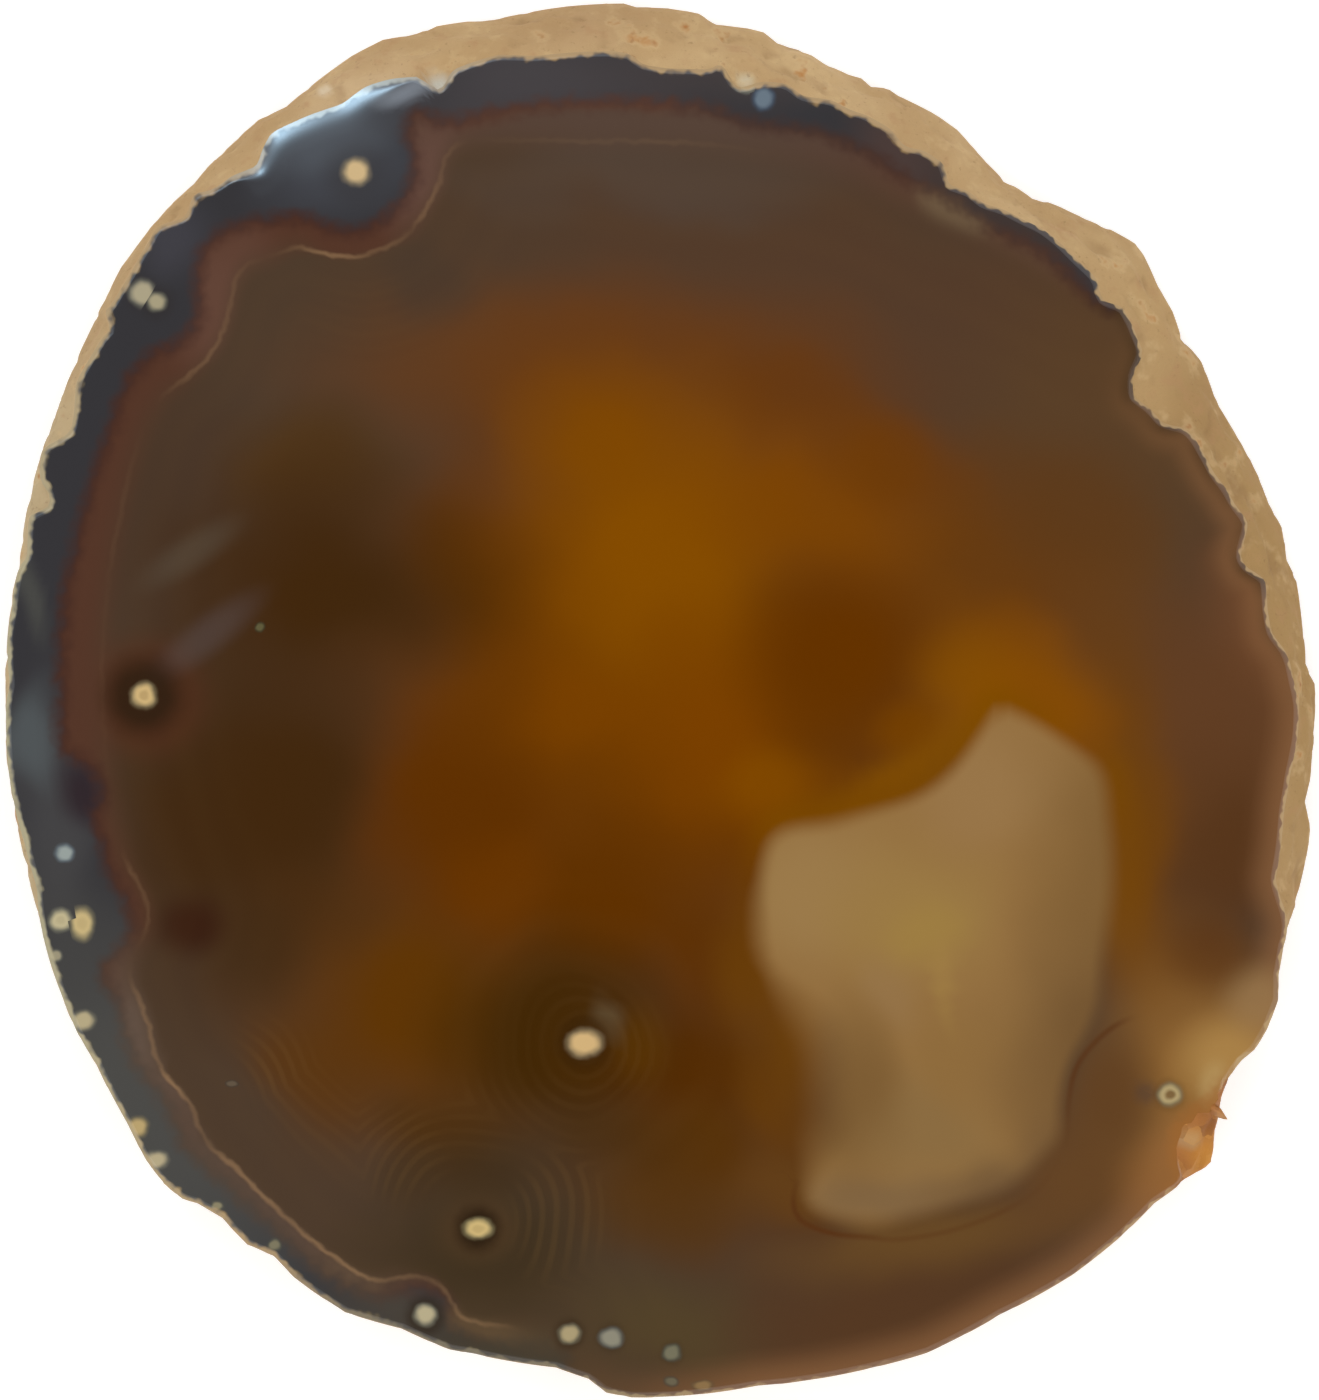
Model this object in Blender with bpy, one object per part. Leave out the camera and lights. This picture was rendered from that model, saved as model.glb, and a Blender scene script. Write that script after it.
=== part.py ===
"""Polished agate slice: one slab of banded stone with a rough outer skin, lying flat.

Run it with "blender --background --python part.py" or from Blender's text editor.
Metres, +Z up. The flat sawn underside rests at z = 0 and the polished face points up.
The slab is sawn off the middle of its nodule, so the rough skin slopes outwards below the
polished face along the top and right of the outline and tucks under along the lower left.
"""

import math

import bmesh
import bpy
import numpy as np
from mathutils import Vector, noise

MM = 0.001

# Driving dimensions of the slab
THICKNESS = 6.0 * MM
EDGE_ROUND = 0.3 * MM
THINNEST_SKIN = 0.06 * MM

# Height at which the skin stands out furthest, as a share of the thickness.
# Skin seen wider than WIDE_SKIN round the polished face slopes all the way down.
WIDE_SKIN = 3.0 * MM
BELLY_OF_SLOPING_SKIN = 0.14
BELLY_OF_STEEP_SKIN = 0.55
BELLY_OF_CHIP = 0.62

# Section of the wall above the belly: 0 is a straight slope and 1 a quarter round
WALL_ROUNDING = 0.4

# How far the skin draws in again between its belly and the underside
TUCK = 0.35 * MM
TUCK_AT_LOWER_LEFT = 1.3 * MM
LOWER_LEFT = math.radians(220)

# Lumps and ledges of the skin, and what is left of them where the skin is steep
LUMP_HEIGHT = 0.55 * MM
LUMP_SIZE = 3.2 * MM
LEDGE_HEIGHT = 0.25 * MM
LEDGE_PITCH = 2.1 * MM
LEDGE_SWAY_SIZE = 9.6 * MM
LEDGE_SWAY = 2.0
RELIEF_OF_STEEP_SKIN = 0.4

# Small chip broken out of the polished edge at the lower right
CHIP_MIDDLE = math.radians(-39.5)
CHIP_HALF_ANGLE = math.radians(3.4)

# Teeth and corners of the two outlines run out within this share of the wall
OUTLINE_DETAIL_DEPTH = 0.4
SOFTENING = math.radians(3.5)

# Rings of points round the wall, counted from the polished face down to the underside
RINGS_ABOVE_BELLY = 6
RINGS_BELOW_BELLY = 2
CLOSEST_STATIONS = math.radians(0.2)
WIDEST_STATIONS = math.radians(1.8)

# Corners of the slab's widest outline, in millimetres, clockwise from the top
SKIN_OUTLINE = [
    (-3.0, 55.7), (-2.0, 55.4), (1.0, 55.3), (3.0, 54.9), (4.4, 54.0), (7.0, 53.7),
    (8.2, 53.4), (9.3, 52.5), (11.0, 52.2), (13.0, 50.9), (15.0, 50.0), (16.0, 49.7),
    (16.8, 49.0), (18.3, 48.9), (19.0, 48.3), (22.0, 46.8), (23.7, 45.6), (26.0, 43.0),
    (27.5, 41.5), (29.7, 40.0), (31.0, 39.8), (34.0, 38.4), (36.0, 37.6), (38.0, 36.5),
    (38.6, 35.7), (39.8, 33.0), (41.0, 31.0), (41.7, 28.9), (43.3, 27.0), (44.2, 24.6),
    (44.7, 23.4), (46.6, 20.2), (47.7, 18.2), (48.6, 15.7), (49.7, 13.7), (50.1, 11.1),
    (50.9, 9.4), (51.3, 6.5), (51.5, 2.8), (52.3, 1.2), (52.4, 0.0), (52.1, -4.5),
    (51.9, -6.5), (51.5, -8.2), (52.0, -10.5), (51.5, -13.5), (50.7, -16.7),
    (49.6, -19.7), (49.2, -22.0), (49.2, -24.0), (48.3, -26.3), (47.3, -28.0),
    (46.2, -28.9), (45.2, -30.2), (44.7, -31.7), (44.4, -33.8), (44.2, -35.4),
    (43.9, -37.0), (43.5, -37.4), (41.8, -38.4), (39.3, -40.2), (36.7, -42.8),
    (32.8, -45.9), (27.0, -49.1), (21.3, -52.1), (15.6, -53.6), (7.4, -54.8),
    (1.3, -55.6), (-2.4, -55.7), (-4.4, -55.3), (-5.8, -54.2), (-8.4, -53.3),
    (-15.0, -52.2), (-16.8, -51.9), (-20.7, -50.2), (-25.2, -48.9), (-29.2, -46.2),
    (-30.9, -44.4), (-33.0, -43.5), (-35.0, -41.4), (-37.0, -40.2), (-38.2, -39.9),
    (-39.6, -38.8), (-41.1, -36.8), (-42.5, -34.0), (-45.0, -29.2), (-46.5, -26.8),
    (-47.7, -24.0), (-50.0, -16.5), (-51.8, -8.0), (-52.3, -3.0), (-52.4, 1.0),
    (-52.1, 6.5), (-51.3, 10.2), (-50.9, 14.0), (-49.3, 20.5), (-47.8, 24.5),
    (-45.3, 30.2), (-43.2, 34.5), (-39.5, 39.2), (-37.5, 41.0), (-36.3, 42.5),
    (-32.3, 46.3), (-30.0, 47.4), (-24.8, 51.5), (-22.3, 52.8), (-20.2, 53.1),
    (-18.0, 53.9), (-13.0, 54.5), (-7.5, 55.5),
]

# Corners of the toothed edge where the polish meets the skin, clockwise from the top.
# Between the lower right and the lower left the polish reaches the widest outline.
POLISH_OUTLINE = [
    (-4.0, 51.4), (-2.5, 51.2), (-1.5, 50.3), (0.5, 50.0), (3.8, 49.9), (4.8, 50.5),
    (5.4, 49.4), (6.0, 48.4), (6.8, 48.6), (8.0, 49.0), (10.0, 48.8), (11.2, 47.8),
    (13.5, 47.5), (15.0, 46.7), (16.3, 46.3), (18.2, 45.2), (19.3, 43.8), (20.8, 43.5),
    (22.5, 42.4), (22.7, 40.8), (24.5, 40.2), (25.5, 39.3), (27.2, 38.8), (28.5, 38.1),
    (30.2, 37.3), (31.5, 36.3), (33.0, 34.8), (34.6, 33.3), (34.8, 32.0), (35.3, 31.4),
    (36.5, 31.2), (37.2, 30.0), (38.3, 27.2), (37.4, 26.0), (37.4, 24.0), (38.8, 23.0),
    (39.8, 21.8), (41.5, 21.5), (42.3, 20.7), (43.9, 17.8), (44.8, 16.7), (45.5, 15.4),
    (46.6, 14.0), (45.9, 11.3), (46.5, 10.3), (47.9, 9.6), (48.1, 7.0), (48.4, 5.2),
    (49.6, 3.7), (50.6, -0.5), (50.5, -3.0), (49.9, -6.0), (49.4, -9.0), (49.2, -11.5),
    (48.7, -14.5), (49.2, -16.0), (49.3, -18.0), (49.1, -20.5), (49.2, -22.4),
    (49.0, -24.2), (46.2, -28.9), (45.2, -30.2), (44.4, -31.9), (42.6, -33.4),
    (41.5, -34.7), (41.0, -36.3), (41.3, -38.5), (39.3, -40.2), (36.7, -42.8),
    (21.3, -52.1), (1.3, -55.6), (-16.8, -51.9), (-25.2, -48.9), (-32.8, -43.3),
    (-35.2, -40.9), (-38.0, -39.3), (-39.2, -38.2), (-40.9, -36.3), (-42.2, -33.6),
    (-43.5, -31.4), (-45.1, -28.6), (-47.0, -24.0), (-48.0, -21.8), (-48.7, -18.7),
    (-49.2, -15.0), (-50.1, -11.5), (-51.5, -5.5), (-51.6, -0.5), (-51.3, 1.0),
    (-51.5, 5.0), (-51.1, 7.0), (-50.9, 10.0), (-50.0, 11.0), (-49.8, 14.5),
    (-48.5, 15.2), (-48.5, 16.3), (-49.0, 17.0), (-48.8, 19.5), (-46.8, 21.3),
    (-46.2, 25.0), (-44.2, 28.8), (-43.5, 29.5), (-44.1, 30.3), (-43.5, 31.0),
    (-40.3, 36.3), (-39.8, 37.2), (-37.7, 38.3), (-37.0, 39.8), (-35.0, 40.7),
    (-34.3, 41.4), (-32.0, 42.3), (-31.8, 43.3), (-31.0, 44.9), (-28.0, 46.3),
    (-25.3, 47.2), (-23.5, 48.6), (-21.5, 49.2), (-19.0, 49.4), (-18.2, 48.3),
    (-17.3, 48.4), (-16.8, 49.8), (-15.0, 50.5), (-13.0, 51.1), (-10.0, 51.0),
]

COLLECTION = "agate_slice"
STONE_COLOUR = (0.105, 0.046, 0.019, 1.0)
STONE_ROUGHNESS = 0.12
STONE_METALLIC = 0.0


def clear_scene():
    for thing in list(bpy.data.objects):
        bpy.data.objects.remove(thing, do_unlink=True)


def reach_of(outline, angles):
    """Distance in metres from the slab's middle to an outline, along each angle."""
    corners = sorted((math.atan2(y, x), math.hypot(x, y) * MM) for x, y in outline)
    corner_angles = [angle for angle, reach in corners]
    corner_reaches = [reach for angle, reach in corners]
    return np.interp(angles, corner_angles, corner_reaches, period=2 * math.pi)


def softened_reach(outline, angles):
    """The same distance with the outline's teeth and corners averaged away."""
    turns = np.linspace(-SOFTENING, SOFTENING, 9)
    return np.mean([reach_of(outline, angles + turn) for turn in turns], axis=0)


def station_angles():
    """Angles of the points of every ring: both outlines' corners, with wide gaps filled."""
    corners = sorted(math.atan2(y, x) for x, y in SKIN_OUTLINE + POLISH_OUTLINE)
    kept = [corners[0]]
    for angle in corners[1:]:
        if angle - kept[-1] > CLOSEST_STATIONS:
            kept.append(angle)
    stations = []
    for here, there in zip(kept, kept[1:] + [kept[0] + 2 * math.pi]):
        parts = math.ceil((there - here) / WIDEST_STATIONS)
        stations += [here + (there - here) * part / parts for part in range(parts)]
    return np.array(stations)


def smooth_step(value):
    share = np.clip(value, 0.0, 1.0)
    return share * share * (3 - 2 * share)


def skin_relief(angles, reaches, heights):
    """Lumps and ledges of the skin at each point of one ring, in metres."""
    relief = []
    for angle, reach, height in zip(angles, reaches, heights):
        place = Vector((reach * math.cos(angle), reach * math.sin(angle), height))
        lumps = noise.fractal(place / LUMP_SIZE, 1.0, 2.0, 3)
        sway = LEDGE_SWAY * noise.noise(place / LEDGE_SWAY_SIZE)
        ledges = math.sin(2 * math.pi * (height / LEDGE_PITCH + sway))
        relief.append(LUMP_HEIGHT * lumps + LEDGE_HEIGHT * ledges)
    return np.array(relief)


def level(angles, height):
    """Heights of a ring that lies in one level plane."""
    return np.full_like(angles, height)


def upper_wall(angles, polish, skin, belly, steepness):
    """Rings between the polished edge and the belly, as distances and heights."""
    soft_skin = softened_reach(SKIN_OUTLINE, angles)
    soft_polish = np.minimum(softened_reach(POLISH_OUTLINE, angles), soft_skin)
    shoulder = THICKNESS - EDGE_ROUND
    rings = []
    for ring in range(1, RINGS_ABOVE_BELLY):
        share = ring / RINGS_ABOVE_BELLY
        quarter = math.pi / 2 * share
        out = (1 - WALL_ROUNDING) * share + WALL_ROUNDING * math.sin(quarter)
        down = (1 - WALL_ROUNDING) * share + WALL_ROUNDING * (1 - math.cos(quarter))
        inner = polish + (soft_polish - polish) * smooth_step(share / OUTLINE_DETAIL_DEPTH)
        outer = skin + (soft_skin - skin) * smooth_step((1 - share) / OUTLINE_DETAIL_DEPTH)
        reaches = inner + (outer - inner) * out
        heights = shoulder + (belly - shoulder) * down
        strength = (1 - (1 - RELIEF_OF_STEEP_SKIN) * steepness) * math.sin(math.pi * share)
        relief = skin_relief(angles, reaches, heights) * strength
        rings.append((np.minimum(reaches + relief, skin), heights))
    return rings


def lower_wall(angles, skin, foot, belly, steepness):
    """Rings between the belly and the underside, drawn in towards the foot."""
    rings = []
    for ring in range(1, RINGS_BELOW_BELLY + 1):
        share = ring / (RINGS_BELOW_BELLY + 1)
        reaches = skin + (foot - skin) * share * share
        heights = belly + (EDGE_ROUND - belly) * share
        relief = skin_relief(angles, reaches, heights) * steepness * math.sin(math.pi * share)
        rings.append((np.minimum(reaches + relief, skin), heights))
    return rings


def wall_rings():
    """Rings of points from the polished face down the wall to the underside."""
    angles = station_angles()
    skin = reach_of(SKIN_OUTLINE, angles)
    polish = np.minimum(reach_of(POLISH_OUTLINE, angles), skin - THINNEST_SKIN)
    steepness = 1 - smooth_step((skin - polish) / WIDE_SKIN)
    belly_share = BELLY_OF_SLOPING_SKIN + (BELLY_OF_STEEP_SKIN - BELLY_OF_SLOPING_SKIN) * steepness
    in_chip = np.abs(angles - CHIP_MIDDLE) < CHIP_HALF_ANGLE
    belly = THICKNESS * np.where(in_chip, BELLY_OF_CHIP, belly_share)
    lower_left = smooth_step(np.cos(angles - LOWER_LEFT))
    foot = skin - TUCK - (TUCK_AT_LOWER_LEFT - TUCK) * lower_left

    rings = [(polish - EDGE_ROUND, level(angles, THICKNESS))]
    rings.append((polish, level(angles, THICKNESS - EDGE_ROUND)))
    rings += upper_wall(angles, polish, skin, belly, steepness)
    rings.append((skin, belly))
    rings += lower_wall(angles, skin, foot, belly, steepness)
    rings.append((foot, level(angles, EDGE_ROUND)))
    rings.append((foot - EDGE_ROUND, level(angles, 0.0)))
    return angles, rings


def add_loop(body, angles, reaches, heights):
    """One closed ring of mesh points."""
    loop = []
    for angle, reach, height in zip(angles, reaches, heights):
        loop.append(body.verts.new((reach * math.cos(angle), reach * math.sin(angle), height)))
    return loop


def build_slab(collection):
    """One closed body: a loft through the wall's rings, with both flat faces filled in."""
    angles, rings = wall_rings()
    body = bmesh.new()
    loops = [add_loop(body, angles, reaches, heights) for reaches, heights in rings]
    for upper, lower in zip(loops, loops[1:]):
        for index in range(len(angles)):
            corners = (upper[index - 1], lower[index - 1], lower[index], upper[index])
            body.faces.new(corners).smooth = True
    body.faces.new(loops[0])
    body.faces.new(reversed(loops[-1]))
    bmesh.ops.recalc_face_normals(body, faces=body.faces)

    mesh = bpy.data.meshes.new("agate_slice")
    body.to_mesh(mesh)
    body.free()
    mesh.materials.append(stone_material())
    slab = bpy.data.objects.new("agate_slice", mesh)
    collection.objects.link(slab)


def stone_material():
    material = bpy.data.materials.new("brown agate")
    material.use_nodes = True
    shader = material.node_tree.nodes["Principled BSDF"]
    shader.inputs["Base Color"].default_value = STONE_COLOUR
    shader.inputs["Roughness"].default_value = STONE_ROUGHNESS
    shader.inputs["Metallic"].default_value = STONE_METALLIC
    return material


def main():
    clear_scene()
    collection = bpy.data.collections.new(COLLECTION)
    bpy.context.scene.collection.children.link(collection)
    build_slab(collection)


main()
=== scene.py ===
"""The looks of the polished agate slice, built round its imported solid.

Lengths in the frame are metres. The pattern is laid out in millimetres on the polished face,
with the slab's middle at 0, 0, +x to the right and +y to the top of the face.
"""

import math

import bpy
import numpy as np
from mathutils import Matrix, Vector, noise


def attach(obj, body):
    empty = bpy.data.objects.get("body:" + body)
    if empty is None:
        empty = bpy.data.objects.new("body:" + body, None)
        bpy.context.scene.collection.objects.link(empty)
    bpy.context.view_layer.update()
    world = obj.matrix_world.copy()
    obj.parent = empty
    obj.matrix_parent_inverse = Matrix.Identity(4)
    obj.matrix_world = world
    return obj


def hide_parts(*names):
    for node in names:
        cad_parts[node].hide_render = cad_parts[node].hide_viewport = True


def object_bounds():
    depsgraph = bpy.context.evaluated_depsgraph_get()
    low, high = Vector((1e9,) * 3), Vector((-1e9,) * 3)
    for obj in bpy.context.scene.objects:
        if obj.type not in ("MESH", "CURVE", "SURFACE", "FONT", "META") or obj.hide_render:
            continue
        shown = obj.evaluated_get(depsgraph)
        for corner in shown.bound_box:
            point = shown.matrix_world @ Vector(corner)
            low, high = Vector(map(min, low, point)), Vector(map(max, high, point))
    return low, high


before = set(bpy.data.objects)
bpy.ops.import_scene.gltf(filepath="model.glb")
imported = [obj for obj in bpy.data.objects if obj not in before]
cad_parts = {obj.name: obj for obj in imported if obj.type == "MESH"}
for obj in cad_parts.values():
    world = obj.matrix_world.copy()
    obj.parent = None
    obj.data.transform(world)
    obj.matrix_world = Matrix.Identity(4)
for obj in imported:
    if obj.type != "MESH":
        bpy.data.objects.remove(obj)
CAD_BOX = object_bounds()

MM = 0.001
NODE = "agate_slice"

# The colours drift the same way on every run
NOISE_SEED = 58
noise.seed_set(NOISE_SEED)

# Camera: straight down on the polished face, as the photograph looks at it
PHOTO_LONG_SIDE = 111.5 * MM
PHOTO_MIDDLE = (-0.14 * MM, -0.1 * MM)
CAMERA_LENS_MM = 300.0
SENSOR_MM = 36.0

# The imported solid: its broken edges, and the least gap between two of its stations
SOLID_EDGE_MM = 0.3
STATION_GAP = 0.002

# Fine mesh of the slab
WIDEST_STEP = math.radians(0.6)
WALL_STEPS = 18
FACE_INSETS_MM = [0.12, 0.3, 0.55, 0.9, 1.3, 1.8]
OUTER_ZONE_MM = 20.0
OUTER_SPACING_MM = 0.7
INNER_SPACING_MM = 1.3
UNDERSIDE_SPACING_MM = 2.6
UNDERSIDE_BEND_MM = 0.09

# The seam between polish and skin: corners rounded off, and thin skin made thinner
SEAM_SOFTENING = math.radians(0.5)
THIN_SKIN_MM = (0.6, 1.8)
THIN_SKIN_SHARE = 0.45
SEAM_SHIFT_MM = 0.2
LEAST_SKIN_MM = 0.05

# Below the polished face the pattern leans outwards with the skin, at most by this share
LEAST_LEAN_SHARE = 0.85

# The polished edge falls away over a wider strip where it shines at the upper left
EDGE_STEPS = 6
EDGE_WIDTH_MM = 0.4
LOWEST_EDGE_MM = 0.5
SHINE_WIDTH_MM = 2.4
SHINE_SPAN = np.radians([121, 3.6, 6])
SHINE_EVENING = math.radians(1.0)

# Pebbles and grain of the skin
PEBBLE_SIZE_MM = 2.1
PEBBLE_HEIGHT_MM = 0.34
GRAIN_SIZE_MM = 1.3
GRAIN_HEIGHT_MM = 0.12

# A thin sliver that stands out of the chip at the lower right
SLIVER_ANGLE = math.radians(-36.6)
SLIVER_HALF_WIDTH = math.radians(0.4)
SLIVER_REACH_MM = 0.8
SLIVER_FROM_HEIGHT_MM = 4.4

# Stretches of the rim: middle angle, half width, and the angle over which each fades out.
# Bare stone shows round the chip; inside the skin the stone has a painted glow of light coming through it,
# or a dark seam.
BARE_SPAN = np.radians([-38.5, 2.4, 4.5])
JAG_REACH_MM = 1.2
JAGS_PER_TURN = 55
RIM_LIMIT_MM = 12
FRINGE_SPAN = np.radians([156, 89, 20])
LEAST_FRINGE = 0.4
GLOW_SPAN = np.radians([-30, 48, 24])
GLOW_WIDTH_MM = 3.2
GLOW_STRENGTH = 0.8
DARK_SEAM_SPAN = np.radians([28, 16, 16])
DARK_SEAM_MM = 1.5
DARK_SEAM_PATCH_MM = 2.2

# Inner edge of the near-black band under the skin, clockwise from the bottom, and the way
# it is closed outside the slab where the band runs out
BLACK_EDGE = [
    (-8, -52.6), (-12, -51.6), (-15.5, -50.8), (-17, -49.8), (-17.2, -48.4), (-18.8, -47.3),
    (-20.6, -47.6), (-22.5, -48), (-25, -47.2), (-27, -46.1), (-29, -44.5), (-31, -42.6),
    (-33, -40.9), (-35, -39), (-37, -37.2), (-38.5, -35.6), (-39.2, -33.8), (-40.2, -32),
    (-41.5, -30.2), (-42.6, -28.5), (-43.2, -26.5), (-43.7, -24.2), (-44.8, -22.6), (-44.6, -20.9),
    (-43.3, -19.6), (-42.6, -18), (-43.2, -16), (-44.3, -14), (-45, -11.5), (-45.6, -9.6),
    (-45, -7.8), (-45.6, -5.8), (-47.6, -4.7), (-48.3, -3), (-48.2, 0), (-48.3, 3),
    (-48.1, 6), (-47.8, 9), (-47, 12.5), (-46, 16.5), (-45.2, 19), (-44.3, 21.5),
    (-43.5, 24), (-42.3, 26.3), (-40.5, 27.9), (-38.5, 28.9), (-37.3, 30.5), (-37.4, 33),
    (-37, 35.4), (-35.5, 37.3), (-33, 38.3), (-30.5, 38.7), (-28.5, 38.8), (-27, 38.3),
    (-25.5, 37.7), (-23.5, 37.9), (-21.7, 39.2), (-20.3, 41), (-20.1, 43), (-20.6, 45),
    (-20.4, 46.6), (-19, 47), (-17, 46.4), (-14, 47), (-10, 47.7), (-5, 47.9),
    (0, 47.8), (4, 47.4), (6.5, 46.4), (9.5, 46), (12.5, 45.6), (15, 44.6), (17.5, 43.5),
    (19.5, 42), (21.5, 41), (24, 39.6), (26, 38.2), (28.5, 37), (30.5, 36),
    (32.5, 34.4), (34, 32.8), (35.6, 31.6),
]
OUTSIDE = [(70, 30), (70, -70), (0, -70), (-6, -57)]
BLACK_CLOSING = [(45, 38)] + OUTSIDE

# Inner edge of the red-brown band, where a thin pale line runs in places
PALE_LINE = [
    (-9, -50.5), (-14, -49.8), (-16.1, -49.1), (-16.9, -47.6), (-18.3, -46.3), (-20, -46),
    (-22.5, -46.3), (-24, -45.8), (-26, -44.5), (-28, -43), (-30, -41.2), (-32, -39.3),
    (-34, -37.3), (-35.5, -36), (-36.5, -34.8), (-37.3, -32.7), (-38.3, -31.2), (-39.5, -30),
    (-40.4, -28), (-40.8, -26.3), (-41.4, -24.4), (-42.3, -22.4), (-42.2, -20.5), (-41, -18.5),
    (-40.9, -16.5), (-41.6, -14.8), (-42.5, -13.2), (-43.2, -11), (-43.8, -8), (-44.3, -4),
    (-44.5, 0), (-44.5, 4), (-44.2, 8), (-43.6, 12), (-42.8, 16), (-41.9, 19.5),
    (-41, 22), (-39.5, 24.3), (-37.5, 25.8), (-35.5, 28), (-34.5, 30.5), (-34, 33),
    (-33, 34.6), (-31, 35.3), (-29, 36), (-26.7, 35.4), (-24.5, 35.2), (-22.5, 35.7),
    (-20.5, 36.8), (-19, 38.6), (-17.7, 41), (-17.2, 43), (-15.5, 44.4), (-11, 44.5),
    (-5, 44.4), (1, 44.3), (5, 44), (10, 43.2), (15, 41.8), (18.5, 40.2), (22, 38.7),
    (26, 36.9), (29, 35.4), (31.5, 34), (34, 32.4),
]
LINE_CLOSING = [(40, 33)] + OUTSIDE

# Pale window, where the stone is clear down to the far face; its pale colour is the clear stone's own,
# brightened by painted light coming through it
WINDOW = [
    (27.6, -0.6), (30.4, -2.1), (33.3, -4.2), (35, -6.3), (36, -10), (36.1, -13.1),
    (35.9, -17.4), (35.5, -22), (35.1, -24.4), (34.2, -26.6), (33, -29), (32.2, -32),
    (31.9, -34.8), (30.4, -36.8), (28.8, -38.4), (26.6, -39.8), (23, -40.9), (17.9, -41.8),
    (14.2, -41.5), (11.8, -40.6), (11.2, -39.2), (11.8, -37), (12.9, -33.5), (12.7, -30.6),
    (12, -26.9), (10.8, -24), (9.2, -22), (7.8, -19.6), (7.2, -17.2), (7.2, -15.1),
    (7.8, -12.4), (8.7, -10.8), (10.4, -9.9), (13.9, -9.4), (16.8, -8.6), (20, -7.1),
    (23.1, -4.6), (25.4, -1.9), (26.6, -0.5),
]

# Thin dark thread round the lower end of the window and the small eye beside it
THREAD = [
    (10.9, -38.2), (10.5, -39.6), (10.8, -41.2), (12.1, -42.1), (14.2, -42.7),
    (16.6, -42.9), (18.4, -43.1), (21, -42.8), (24, -42.1), (27.7, -40.6), (30.4, -38.7),
    (32.2, -35.4), (32.4, -32.6), (33, -29.5), (34.6, -27.3), (36.4, -25.9), (38.4, -25.1),
    (40.6, -24.7),
]
THREAD_CLOSING = [(70, -20), (70, -70), (-20, -70), (5, -36)]

# The two large eyes that the inner growth lines run round, and where the lines meet them
LARGE_EYES = [((-14.6, -42.0), 3.3), ((-6.1, -27.4), 3.6)]

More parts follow.
